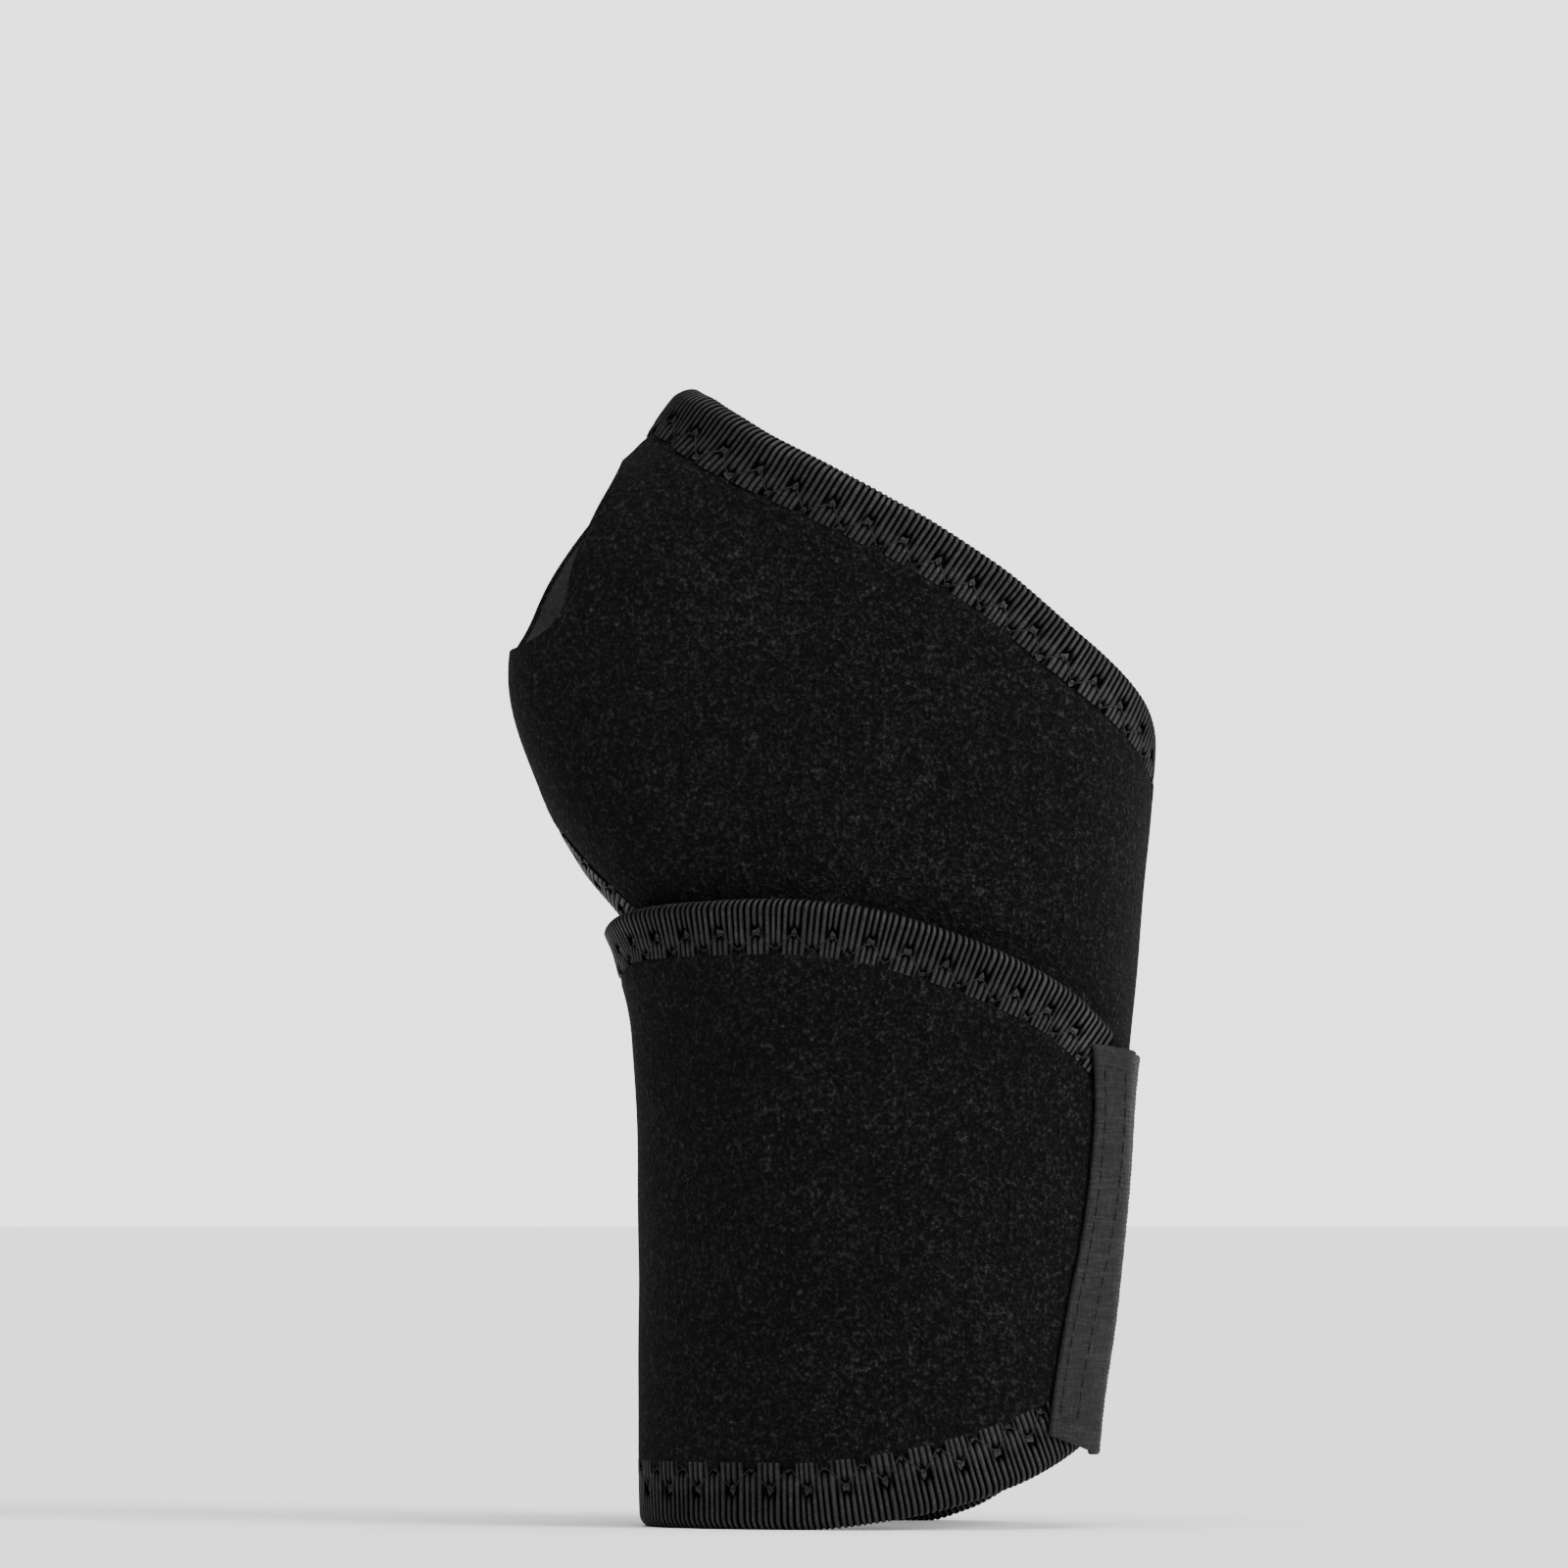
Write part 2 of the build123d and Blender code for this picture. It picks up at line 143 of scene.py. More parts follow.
# ---- lobe and thumb hole ------------------------------------------------------------------
LOBE_TIP = AXIS[0] - 0.0073
LOBE_TOP = 0.1510
LOBE_LOW = 0.1046
LOBE_RADIUS = 0.020
LOBE_FAR = AXIS[0] - 0.034      # where its drawn edge ends, past its root
LAP = 0.6                       # winding angle by which the lobe's tape laps over the hand's
HOLE_MIDDLE = np.array([AXIS[0] - 0.044, AXIS[1] + 0.0002, 0.139])
HOLE_LENGTH = 0.0318
HOLE_WIDTH = 0.023
HOLE_CORNER = 0.009


def unit(v):
    v = np.asarray(v, float)
    return v / np.linalg.norm(v, axis=-1, keepdims=True)


HOLE_OUT = unit([-0.88, 0, 0.46])
HOLE_LEAN = np.array([0.46, 0.14, 0.88])
HOLE_ALONG = unit(HOLE_LEAN - HOLE_OUT * np.dot(HOLE_LEAN, HOLE_OUT))
HOLE_ACROSS = np.cross(HOLE_OUT, HOLE_ALONG)


# ---- shape of the winding -----------------------------------------------------------------
def smooth(points):
    """A smooth function through (place, value) pairs, flat beyond its ends."""
    xs, ys = np.array(points, float).T
    rise = np.diff(ys) / np.diff(xs)
    a, b = rise[:-1], rise[1:]
    mean = np.where(a * b > 0, 2 * a * b / np.where(a * b > 0, a + b, 1), 0)
    slope = np.concatenate([rise[:1], mean, rise[-1:]])

    def value(at):
        at = np.clip(at, xs[0], xs[-1])
        i = np.clip(np.searchsorted(xs, at, side="right") - 1, 0, len(xs) - 2)
        span = xs[i + 1] - xs[i]
        t = (at - xs[i]) / span
        return ((1 + 2 * t) * (1 - t) ** 2 * ys[i] + t * (1 - t) ** 2 * span * slope[i]
                + t * t * (3 - 2 * t) * ys[i + 1] + t * t * (t - 1) * span * slope[i + 1])

    return value


def step(x, low, high):
    """A soft step from 0 at low to 1 at high."""
    t = np.clip((x - low) / (high - low), 0, 1)
    return t * t * (3 - 2 * t)


thumb_side, little_side = smooth(THUMB_SIDE), smooth(LITTLE_SIDE)
back_side, palm_side = smooth(BACK_SIDE), smooth(PALM_SIDE)
upper_edge, lower_edge = smooth(UPPER_EDGE), smooth(LOWER_EDGE)
tab_top, tab_low, tab_left = smooth(TAB_TOP), smooth(TAB_LOW), smooth(TAB_LEFT)
lift, tab_lift = smooth(LIFT), smooth(TAB_LIFT)


def tape_share(angle):
    """How much wider than elsewhere the lower edge's tape is."""
    return 1 + 0.22 * step(angle, 190, 330)


def strap_tuck(angle, height):
    """How far the strap's upper edge is pulled in where it passes the thumb side."""
    near = step(angle, 525, 546) * (1 - step(angle, 560, 590))
    return 0.0010 * near * step(height, 0.078, 0.089)


def skin(angle, height):
    """Distance from the wrist axis to the skin side of the innermost layer."""
    c, s = np.cos(np.radians(angle)), np.sin(np.radians(angle))
    across = np.where(c > 0, little_side(height), thumb_side(height))
    deep = np.where(s > 0, palm_side(height), back_side(height))
    return (abs(c / across) ** SQUARENESS + abs(s / deep) ** SQUARENESS) ** (-1 / SQUARENESS)


def unevenness(angle, height):
    """Small soft waves that a worn strip has, the same through all its layers."""
    u, v = np.radians(angle) * 30, height * 1000
    waves = (np.sin(u * 0.21 + v * 0.11 + 1.3) + np.sin(u * 0.13 - v * 0.17 + 4.1)
             + 0.6 * np.sin(u * 0.37 + v * 0.05 + 2.2) + 0.5 * np.sin(-u * 0.09 + v * 0.31 + 0.4))
    return 0.00009 * waves


def surface(angle, height, out, stand_off=lift):
    """Points of the frame at a winding angle, a height and a distance out from the skin."""
    angle, height = np.broadcast_arrays(np.asarray(angle, float), np.asarray(height, float))
    r = skin(angle, height) + unevenness(angle, height) + stand_off(angle) + out
    r = r - strap_tuck(angle, height)
    return np.stack([AXIS[0] + r * np.cos(np.radians(angle)),
                     AXIS[1] + r * np.sin(np.radians(angle)), height], axis=-1)


def lay_of(angle, height, stand_off=lift):
    """Derivatives of the surface along angle and height, and its outward normal."""
    da, dz = 0.05, 0.00005      # small steps of angle and height
    mid = LAMINATE / 2
    along_angle = (surface(angle + da, height, mid, stand_off)
                   - surface(angle - da, height, mid, stand_off)) / (2 * da)
    along_height = (surface(angle, height + dz, mid, stand_off)
                    - surface(angle, height - dz, mid, stand_off)) / (2 * dz)
    return along_angle, along_height, unit(np.cross(along_angle, along_height))


def slant(edge, angle):
    """How much longer than its width a band beside a slanted edge is along the height."""
    height = edge(angle)
    rise = (edge(angle + 1) - edge(angle - 1)) / 2
    return np.sqrt(1 + (rise / (np.radians(1) * skin(angle, height))) ** 2)


# ---- meshes -------------------------------------------------------------------------------
def new_piece(name, points, faces, material, sharp=50, shades=None):
    """A mesh object of quads; shades are numbers per point that its material reads by name."""
    mesh = bpy.data.meshes.new(name)
    used = np.unique(faces)
    index = np.zeros(len(points), int)
    index[used] = np.arange(len(used))
    mesh.vertices.add(len(used))
    mesh.vertices.foreach_set("co", np.asarray(points, np.float32)[used].ravel())
    count = len(faces)
    mesh.loops.add(4 * count)
    mesh.loops.foreach_set("vertex_index", index[faces].ravel().astype(np.int32))
    mesh.polygons.add(count)
    mesh.polygons.foreach_set("loop_start", np.arange(0, 4 * count, 4, dtype=np.int32))
    mesh.update(calc_edges=True)
    for shade, values in (shades or {}).items():
        mesh.attributes.new(shade, "FLOAT", "POINT").data.foreach_set("value", values[used])
    mesh.validate()
    mesh.polygons.foreach_set("use_smooth", np.ones(len(mesh.polygons), bool))
    mesh.set_sharp_from_angle(angle=math.radians(sharp))
    piece = bpy.data.objects.new(name, mesh)
    bpy.context.collection.objects.link(piece)
    mesh.materials.append(material)
    return piece


def grid_faces(rows, columns, around=False):
    """Quads of a grid of points, rows by columns; around joins the last column to the first."""
    i = np.arange(rows - 1)[:, None]
    j = np.arange(columns if around else columns - 1)[None, :]
    k = (j + 1) % columns
    quads = np.stack(np.broadcast_arrays(i * columns + j, i * columns + k,
                                         (i + 1) * columns + k, (i + 1) * columns + j), axis=-1)
    return quads.reshape(-1, 4)


def walls(quads, shift):
    """Quads between the open edges of a sheet of quads and the same edges shifted to its twin."""
    pairs = np.concatenate([quads[:, [a, (a + 1) % 4]] for a in range(4)])
    size = int(pairs.max()) + 1
    forward = pairs[:, 0] * size + pairs[:, 1]
    backward = pairs[:, 1] * size + pairs[:, 0]
    edge = pairs[~np.isin(forward, backward)]
    return np.stack([edge[:, 1], edge[:, 0], edge[:, 0] + shift, edge[:, 1] + shift], axis=-1)


def inside(points, outline):
    """Which 2-D points lie inside a closed outline, and the outline's nearest point to each."""
    a, b = outline, np.roll(outline, -1, axis=0)
    x, y = points[:, 0, None], points[:, 1, None]
    crosses = (a[:, 1] > y) != (b[:, 1] > y)
    rise = np.where(b[:, 1] == a[:, 1], 1, b[:, 1] - a[:, 1])
    at = a[:, 0] + (y - a[:, 1]) / rise * (b[:, 0] - a[:, 0])
    within = (crosses & (x < at)).sum(axis=1) % 2 == 1
    run = b - a
    length = np.maximum((run ** 2).sum(axis=1), 1e-18)
    t = np.clip(((points[:, None] - a) * run).sum(axis=2) / length, 0, 1)
    near = a + t[..., None] * run
    best = ((near - points[:, None]) ** 2).sum(axis=2).argmin(axis=1)
    return within, near[np.arange(len(points)), best]


def arc(centre, radius, start, end):
    t = np.radians(np.linspace(start, end, 24))
    return np.stack([centre[0] + radius * np.cos(t), centre[1] + radius * np.sin(t)], axis=-1)


def hole_outline():
    """The thumb hole as a flat rounded rectangle round its middle."""
    half = np.array([HOLE_LENGTH, HOLE_WIDTH]) / 2 - HOLE_CORNER
    corners = [(1, 1, 0), (-1, 1, 90), (-1, -1, 180), (1, -1, 270)]
    return np.concatenate([arc(half * (sx, sy), HOLE_CORNER, a, a + 90) for sx, sy, a in corners])


def lobe_path():
    """The lobe's edge, from its upper root round the tip to its lower root, as x and z."""
    high_root = float(upper_edge(LOBE_ROOT))
    root = AXIS[0] + (skin(LOBE_ROOT, high_root) + LAMINATE / 2) * math.cos(math.radians(LOBE_ROOT))
    slope = (high_root - LOBE_TOP) / (LOBE_TIP - root)
    turn = math.degrees(math.atan(slope))
    low = np.array([LOBE_TIP - LOBE_RADIUS, LOBE_LOW + LOBE_RADIUS])
    drop = LOBE_RADIUS * (math.sqrt(1 + slope ** 2) - slope)
    high = np.array([LOBE_TIP - LOBE_RADIUS, LOBE_TOP - drop])
    return np.concatenate([[(LOBE_FAR, LOBE_TOP + slope * (LOBE_TIP - LOBE_FAR))],
                           arc(high, LOBE_RADIUS, 90 - turn, 0),
                           arc(low, LOBE_RADIUS, 0, -90), [(LOBE_FAR, LOBE_LOW)]])


def unrolled(angle, height):
    """A place on the strip as a point of the flat strip, in metres."""
    return np.stack(np.broadcast_arrays(np.radians(angle) * MEAN_RADIUS, height), axis=-1)


def lobe_places():
    """The lobe's edge as winding angles and heights, closely spaced, up to the lobe's root."""
    path = lobe_path()
    dense = np.concatenate([np.linspace(a, b, 16, endpoint=False) for a, b in zip(path, path[1:])]
                           + [path[-1:]])
    angle = np.full(len(dense), 110.0)      # a first guess, which the loop brings to rest
    for _ in range(40):
        r = skin(angle, dense[:, 1]) + LAMINATE / 2
        angle = np.degrees(np.arccos(np.clip((dense[:, 0] - AXIS[0]) / r, -1, 1)))
    keep = angle <= LOBE_ROOT + 3
    return angle[keep], dense[keep, 1]


def hole_places():
    """The thumb hole's edge as winding angles and heights, where a straight cut meets the strip."""
    flat = hole_outline()
    reach = 0.025
    depth = np.linspace(reach, -reach, 1500)
    line = (HOLE_MIDDLE + flat[:, :1, None] * HOLE_ALONG + flat[:, 1:, None] * HOLE_ACROSS
            + depth[None, :, None] * HOLE_OUT)
    angle = np.degrees(np.arctan2(line[..., 1] - AXIS[1], line[..., 0] - AXIS[0])) % 360
    far = np.hypot(line[..., 0] - AXIS[0], line[..., 1] - AXIS[1])
    under = far < skin(angle, line[..., 2]) + LAMINATE / 2
    first = under.argmax(axis=1)
    row = np.arange(len(flat))
    return angle[row, first], line[row, first, 2]


def pressed(out, share):
    """Distance out of a layer where the tape presses the laminate thinner."""
    return out + share * (PRESS_IN - out * (PRESS_IN + PRESS_OUT) / LAMINATE)


def slab(name, start, end, inner, outer, material, fine):
    """One layer of the strip between two winding angles, as a closed shell."""
    tallest = 0.092
    rows = int(math.ceil(math.radians(end - start) * MEAN_RADIUS / fine)) + 1
    columns = int(math.ceil(tallest / fine)) + 1
    angle = np.linspace(start, end, rows)[:, None]
    up = np.linspace(0, 1, columns)[None, :]
    low = lower_edge(angle) + HEM_IN * slant(lower_edge, angle)
    high = upper_edge(angle) - HEM_IN * slant(upper_edge, angle)
    height = low + (high - low) * up
    angle = np.broadcast_to(angle, height.shape).copy()
    quads = grid_faces(rows, columns)
    from_upper = (upper_edge(angle) - height) / slant(upper_edge, angle)
    from_lower = (height - lower_edge(angle)) / slant(lower_edge, angle) / tape_share(angle)
    from_edge = np.minimum(from_upper, from_lower)
    if start < LOBE_ROOT:
        quads = trim(quads, angle, height)
        on_lobe = angle < LOBE_ROOT + 2
        edge = unrolled(*lobe_places())
        spot = unrolled(angle[on_lobe], height[on_lobe])
        distance = np.linalg.norm(spot - inside(spot, edge)[1], axis=1)
        from_edge[on_lobe] = np.minimum(from_edge[on_lobe], distance)
    share = 1 - step(from_edge, TAPE_WIDTH - 0.0009, TAPE_WIDTH - 0.0001)
    outside = surface(angle, height, pressed(outer, share)).reshape(-1, 3)
    skin_side = surface(angle, height, pressed(inner, share)).reshape(-1, 3)
    count = height.size
    faces = np.concatenate([quads, quads[:, ::-1] + count, walls(quads, count)])
    return new_piece(name, np.concatenate([outside, skin_side]), faces, material)


def trim(quads, angle, height):
    """Cuts a sheet to the thumb hole and the lobe's round end, and moves points to the cuts."""
    spot = unrolled(angle, height).reshape(-1, 2)
    hole = unrolled(*hole_places())
    lobe = unrolled(*lobe_places())
    lobe = lobe + unit(np.gradient(lobe, axis=0))[:, ::-1] * (-1, 1) * HEM_IN
    beside_hole = abs(angle.ravel() - THUMB) < 60
    on_lobe = angle.ravel() < LOBE_ROOT + 1
    cuts = [(hole, beside_hole, True), (lobe, on_lobe, False)]
    for outline, near, cut_inside in cuts:
        gone = np.zeros(len(spot), bool)
        gone[near] = inside(spot[near], outline)[0] == cut_inside
        quads = quads[~gone[quads].all(axis=1)]
        border = np.unique(quads[gone[quads]])
        spot[border] = inside(spot[border], outline)[1]
    angle[:] = np.degrees(spot[:, 0] / MEAN_RADIUS).reshape(angle.shape)
    height[:] = spot[:, 1].reshape(height.shape)
    return quads


# ---- edges, tape and thread ---------------------------------------------------------------
def resample(angle, height, pitch):
    """Places spaced evenly along an edge, with their distances along it."""
    where = surface(angle, height, LAMINATE / 2)
    run = np.concatenate([[0], np.cumsum(np.linalg.norm(np.diff(where, axis=0), axis=1))])
    count = max(int(round(run[-1] / pitch)), 1)
    even = np.linspace(0, run[-1], count + 1)
    return np.interp(even, run, angle), np.interp(even, run, height), even


def across(angle, height, side):
    """Change of angle and height for each metre into the fabric, square to the edge."""
    along_angle, along_height, normal = lay_of(angle, height)
    where = surface(angle, height, LAMINATE / 2)
    tangent = unit(np.gradient(where, axis=0))
    inward = side * np.cross(normal, tangent)
    aa = (along_angle ** 2).sum(axis=-1)
    hh = (along_height ** 2).sum(axis=-1)
    ah = (along_angle * along_height).sum(axis=-1)
    ia, ih = (inward * along_angle).sum(axis=-1), (inward * along_height).sum(axis=-1)
    det = aa * hh - ah ** 2
    return (ia * hh - ih * ah) / det, (ih * aa - ia * ah) / det


def strip_edge(curve, side):
    """One edge of the strip from the lobe's root to the strap's end."""
    angle = np.linspace(LOBE_ROOT, STRAP_END, 2400)
    angle, height, run = resample(angle, curve(angle), RIB / 8)
    wide = tape_share(angle) if side > 0 else np.ones_like(angle)
    into_angle, into_height = across(angle, height, side)
    return angle, height, into_angle * wide, into_height * wide, run


def part_of(edge, start, end):
    """The stretch of an edge between two winding angles."""
    first, last = np.searchsorted(edge[0], (start, end))
    return tuple(e[first:last + 1] for e in edge)


def lobe_edge():
    """The lobe's edge, with a short lap past its root."""
    angle, height = lobe_places()
    keep = angle <= LOBE_ROOT + LAP
    angle, height, run = resample(angle[keep], height[keep], RIB / 8)
    return (angle, height, *across(angle, height, 1), run)


def zigzag(run, more):
    """Distance along and depth of each turn of the zigzag in a stretch of edge, and some beyond."""
    half = STITCH / 2
    turn = np.arange(math.ceil(run[0] / half) - more, int(run[-1] / half) + 1 + more)
    return turn * STITCH / 2, np.where(turn % 2 == 0, STITCH_LOW, STITCH_HIGH)


def tape(name, edge, material):
    """Ribbed tape folded over an edge: an outer leg, the fold and an inner leg."""
    outer_out = LAMINATE - PRESS_OUT + TAPE
    inner_out = PRESS_IN - TAPE
    middle, half = (outer_out + inner_out) / 2, (outer_out - inner_out) / 2
    leg = np.linspace(TAPE_WIDTH, half - TAPE, LEG_POINTS)
    level, beside = np.ones(LEG_POINTS), np.zeros(LEG_POINTS)
    bend = np.radians(np.linspace(90, -90, 13)[1:-1])
    depth = np.concatenate([leg, half - TAPE - half * np.cos(bend), leg[::-1]])
    out = np.concatenate([outer_out * level, middle + half * np.sin(bend), inner_out * level])
    face_depth = np.concatenate([beside, -np.cos(bend), beside])
    face_out = np.concatenate([level, np.sin(bend), -level])
    run = edge[4]
    # The ribs are a little uneven, and flatter from the zigzag's lower row on.
    uneven = 0.12 * np.sin(run * 900) + 0.10 * np.sin(run * 2310 + 1)
    groove_depth_and_shade = 1 - np.abs(np.sin(math.pi * (run / RIB + uneven * 0.5))) ** 0.9
    flatter = 0.7 + 0.3 * (1 - step(depth, STITCH_LOW - 0.0008, STITCH_LOW + 0.0004))
    sunk = RIB_HEIGHT * groove_depth_and_shade[:, None] * flatter[None, :]
    # Painted shade: the tape's colour is made darker down in the rib grooves, a little less past
    # the zigzag's lower row.
    shadow = groove_depth_and_shade[:, None] * flatter[None, :]
    dent = np.zeros_like(sunk)
    along, row = zigzag(run, 1)
    for k, (where, deep) in enumerate(zip(along, row)):
        near = abs(run - where) < DENT_REACH
        spot = np.stack(np.broadcast_arrays(run[near, None], depth[None]), axis=-1)
        from_turn = np.linalg.norm(spot - (where, deep), axis=-1)
        dent[near] = np.maximum(dent[near], np.exp(-(from_turn / DENT_RADIUS) ** 2))
        if k + 1 < len(along):
            here = np.array([where, deep])
            reach = np.array([along[k + 1] - where, row[k + 1] - deep])
            t = np.clip(((spot - here) @ reach) / (reach @ reach), 0, 1)
            off = np.linalg.norm(spot - here - t[..., None] * reach, axis=-1)
            sunk[near] += CREASE_DEPTH * np.exp(-(off / CREASE_RADIUS) ** 2)
    sunk += DENT_DEPTH * dent
    # More painted shade at the stitch dents, darkest at each turn.
    shadow = np.clip(shadow * (1 - 0.4 * dent) + dent, 0, 1)
    shown_depth, shown_out = depth - sunk * face_depth, out - sunk * face_out
    thin = TAPE * 0.9           # so that the tape's back stays clear of the laminate
    angle, height, d_angle, d_height = (e[:, None] for e in edge[:4])

    def lay(deep, far):
        return surface(angle + d_angle * deep, height + d_height * deep, far)

    shown = lay(shown_depth, shown_out)
    back = lay(np.broadcast_to(depth - thin * face_depth, sunk.shape),
               np.broadcast_to(out - thin * face_out, sunk.shape))
    count = sunk.size
    points = np.concatenate([shown.reshape(-1, 3), back.reshape(-1, 3)])
    points[:, 2] = np.maximum(points[:, 2], 0)
    quads = grid_faces(*sunk.shape)
    faces = np.concatenate([quads, quads[:, ::-1] + count, walls(quads, count)])
    # This painted shade goes to the material as a point attribute; the tape's back gets none.
    shades = {"groove_depth_and_shade": np.concatenate([shadow.ravel(), np.zeros(count)])}
    return new_piece(name, points, faces, material, 70, shades)


def tube(path, radius, squeeze=1.0, outward=None):
    """Points and quads of a six-sided thread along a path, which never runs along `outward`."""
    sides = 6
    tangent = unit(np.gradient(path, axis=0))
    if outward is None:
        outward = path - np.array([AXIS[0], AXIS[1], 0])
        outward[:, 2] = 0
    side = unit(np.cross(tangent, outward))
    up = unit(np.cross(side, tangent))
    turn = np.arange(sides) * 2 * math.pi / sides
    ring = (np.cos(turn)[None, :, None] * side[:, None] * radius
            + np.sin(turn)[None, :, None] * up[:, None] * radius * squeeze)
    points = (path[:, None] + ring).reshape(-1, 3)
    quads = grid_faces(len(path), sides, around=True)
    last = (len(path) - 1) * sides
    ends = [[0, 1, 2, 3], [0, 3, 4, 5],
            [last + 3, last + 2, last + 1, last], [last + 5, last + 4, last + 3, last]]
    return points, np.concatenate([quads, np.array(ends)])


def joined(name, tubes, material):
    """One piece of many tubes."""
    points, faces, first = [], [], 0
    for p, f in tubes:
        points.append(p)
        faces.append(f + first)
        first += len(p)
    return new_piece(name, np.concatenate(points), np.concatenate(faces), material, sharp=80)


def zigzag_thread(name, edge, start, end, material):
    """The zigzag thread on both faces of a stretch of tape, pulled into it at each turn."""
    run = edge[4]
    first, last = np.interp((start, end), edge[0], run) if start else (0, run[-1])
    along, row = zigzag(np.array([first, last]), 1 if start else 0)
    along = np.clip(along, 0, run[-1])
    tubes = []
    for out, sign in ((LAMINATE - PRESS_OUT + TAPE, 1), (PRESS_IN - TAPE, -1)):
        for k in range(len(along) - 1):
            if along[k] < first or along[k] >= last or along[k + 1] <= along[k]:
                continue
            t = np.linspace(0, 1, 9)
            where = along[k] + (along[k + 1] - along[k]) * t
            deep = row[k] + (row[k + 1] - row[k]) * t
            turning = np.exp(-(np.minimum(t, 1 - t) / 0.22) ** 2)     # 1 at both its turns
            pulled = -THREAD_SUNK - THREAD_PULLED * turning
            angle, height, d_angle, d_height = (np.interp(where, run, e) for e in edge[:4])
            path = surface(angle + d_angle * deep, height + d_height * deep, out + sign * pulled)
            tubes.append(tube(path, THREAD, squeeze=0.8))
    return joined(name, tubes, material)


# ---- the tab ------------------------------------------------------------------------------
def on_tab(along, share):
    """Winding angle and height at a distance from the tab's sewn end and a share of its height."""
    turned = np.degrees(along / TAB_RADIUS)
    angle = TAB_START + turned
    height = tab_low(angle) + (tab_top(angle) - tab_low(angle)) * share
    lean = math.tan(TAB_TILT) * (height - TAB_TOP[1][1])
    first = TAB_END - math.degrees(TAB_ALONG / TAB_RADIUS)
    straight = first + np.degrees((along + lean) / TAB_RADIUS)
    bent = tab_left(height) + turned
    angle = bent + (straight - bent) * step(along, 0.010, 0.030)
    return angle, tab_low(angle) + (tab_top(angle) - tab_low(angle)) * share


def tab_tape_piece(material):
    """The tab's woven tape, with thin edges and yarns along it."""
    rim = np.array([0, 0.0001, 0.0003])
    from_start = np.concatenate([rim, np.linspace(0.0006, TAB_ALONG - 0.0006, 64),
                                 TAB_ALONG - rim[::-1]])[:, None]
    from_low = np.concatenate([rim, np.linspace(0.0006, TAB_HIGH - 0.0006, 420),
                               TAB_HIGH - rim[::-1]])[None, :]
    angle, height = on_tab(from_start, from_low / TAB_HIGH)
    edge = np.minimum(np.minimum(from_start, TAB_ALONG - from_start),
                      np.minimum(from_low, TAB_HIGH - from_low))
    half = TAB_TAPE / 2 * np.sqrt(1 - (1 - np.clip(edge / 0.0005, 0, 1)) ** 2 * 0.98)
    around = from_low * 2 * math.pi
    yarn = np.cos(around / TAB_YARNS[0]) + 0.5 * np.cos(around / TAB_YARNS[1])
    sunk = 0.00004 * yarn * np.clip(edge / 0.001, 0, 1)
    outside = surface(angle, height, TAB_TAPE / 2 + half + sunk, tab_lift)
    inner = surface(angle, height, TAB_TAPE / 2 - half, tab_lift)
    rows, columns = height.shape
    count = height.size
    quads = grid_faces(rows, columns)
    points = np.concatenate([outside.reshape(-1, 3), inner.reshape(-1, 3)])
    faces = np.concatenate([quads, quads[:, ::-1] + count, walls(quads, count)])
    return new_piece("tab_tape", points, faces, material, sharp=60)


def tab_stitches(material):
    """A box of single stitches over the sewn end of the tab."""
    near, far, low, high = 0.0014, 0.0051, 0.0030, TAB_HIGH - 0.0030
    corners = [(near, low), (near, high), (far, high), (far, low), (near, low)]
    tubes = []
    for (a0, u0), (a1, u1) in zip(corners, corners[1:]):
        count = max(int(round(math.hypot(a1 - a0, u1 - u0) / TAB_STITCH)), 1)
        for k in range(count):
            t = (k + np.linspace(0.12, 0.88, 7)) / count
            angle, height = on_tab(a0 + (a1 - a0) * t, (u0 + (u1 - u0) * t) / TAB_HIGH)
            rise = 0.00010 * np.sin(np.linspace(0, math.pi, 7)) ** 0.6 - 0.00010
            path = surface(angle, height, TAB_TAPE + 0.00003 + rise, tab_lift)
            tubes.append(tube(path, TAB_THREAD))
    return joined("tab_stitching_thread", tubes, material)


def tab_hook_field(material):
    """Small hooks on the inner face of the tab's free part."""
    rng = np.random.default_rng(11)
    bend = np.array([[0, 0], [0.00022, 0], [0.00042, 0.00008], [0.00050, 0.00026],
                     [0.00042, 0.00042]])
    tubes = []
    for along in np.arange(0.0125, TAB_ALONG - 0.0008, HOOK_PITCH):
        for share in np.arange(0.03, 0.97, 0.023):
            angle, height = on_tab(along + rng.normal(0, 0.0001), share + rng.normal(0, 0.002))
            path = surface(angle + np.degrees(bend[:, 1] / TAB_RADIUS), height,
                           0.00005 - bend[:, 0], tab_lift)
            tubes.append(tube(path, HOOK_RADIUS, outward=(0, 0, 1)))
    return joined("tab_hook_field", tubes, material)


# ---- materials ----------------------------------------------------------------------------
def new_material(name):
    material = bpy.data.materials.new(name)
    material.use_nodes = True
    tree = material.node_tree
    shader = tree.nodes["Principled BSDF"]
    place = tree.nodes.new("ShaderNodeTexCoord").outputs["Object"]
    return material, tree, shader, place


def noise(tree, place, scale, detail=3.0, roughness=0.5, stretch=None):
    """Noise with features of about 1/scale metres."""
    if stretch:
        squeeze = tree.nodes.new("ShaderNodeVectorMath")
        squeeze.operation = "MULTIPLY"
        tree.links.new(place, squeeze.inputs[0])
        squeeze.inputs[1].default_value = stretch
        place = squeeze.outputs[0]
    node = tree.nodes.new("ShaderNodeTexNoise")
    tree.links.new(place, node.inputs["Vector"])
    node.inputs["Scale"].default_value = scale
    node.inputs["Detail"].default_value = detail
    node.inputs["Roughness"].default_value = roughness
    return node.outputs["Fac"]


def remap(tree, value, low, high, to_low, to_high):
    """Turns low and high into to_low and to_high, and holds what lies beyond."""
    node = tree.nodes.new("ShaderNodeMapRange")
    tree.links.new(value, node.inputs["Value"])
    for name, number in (("From Min", low), ("From Max", high),
                         ("To Min", to_low), ("To Max", to_high)):
        node.inputs[name].default_value = number
    return node.outputs["Result"]


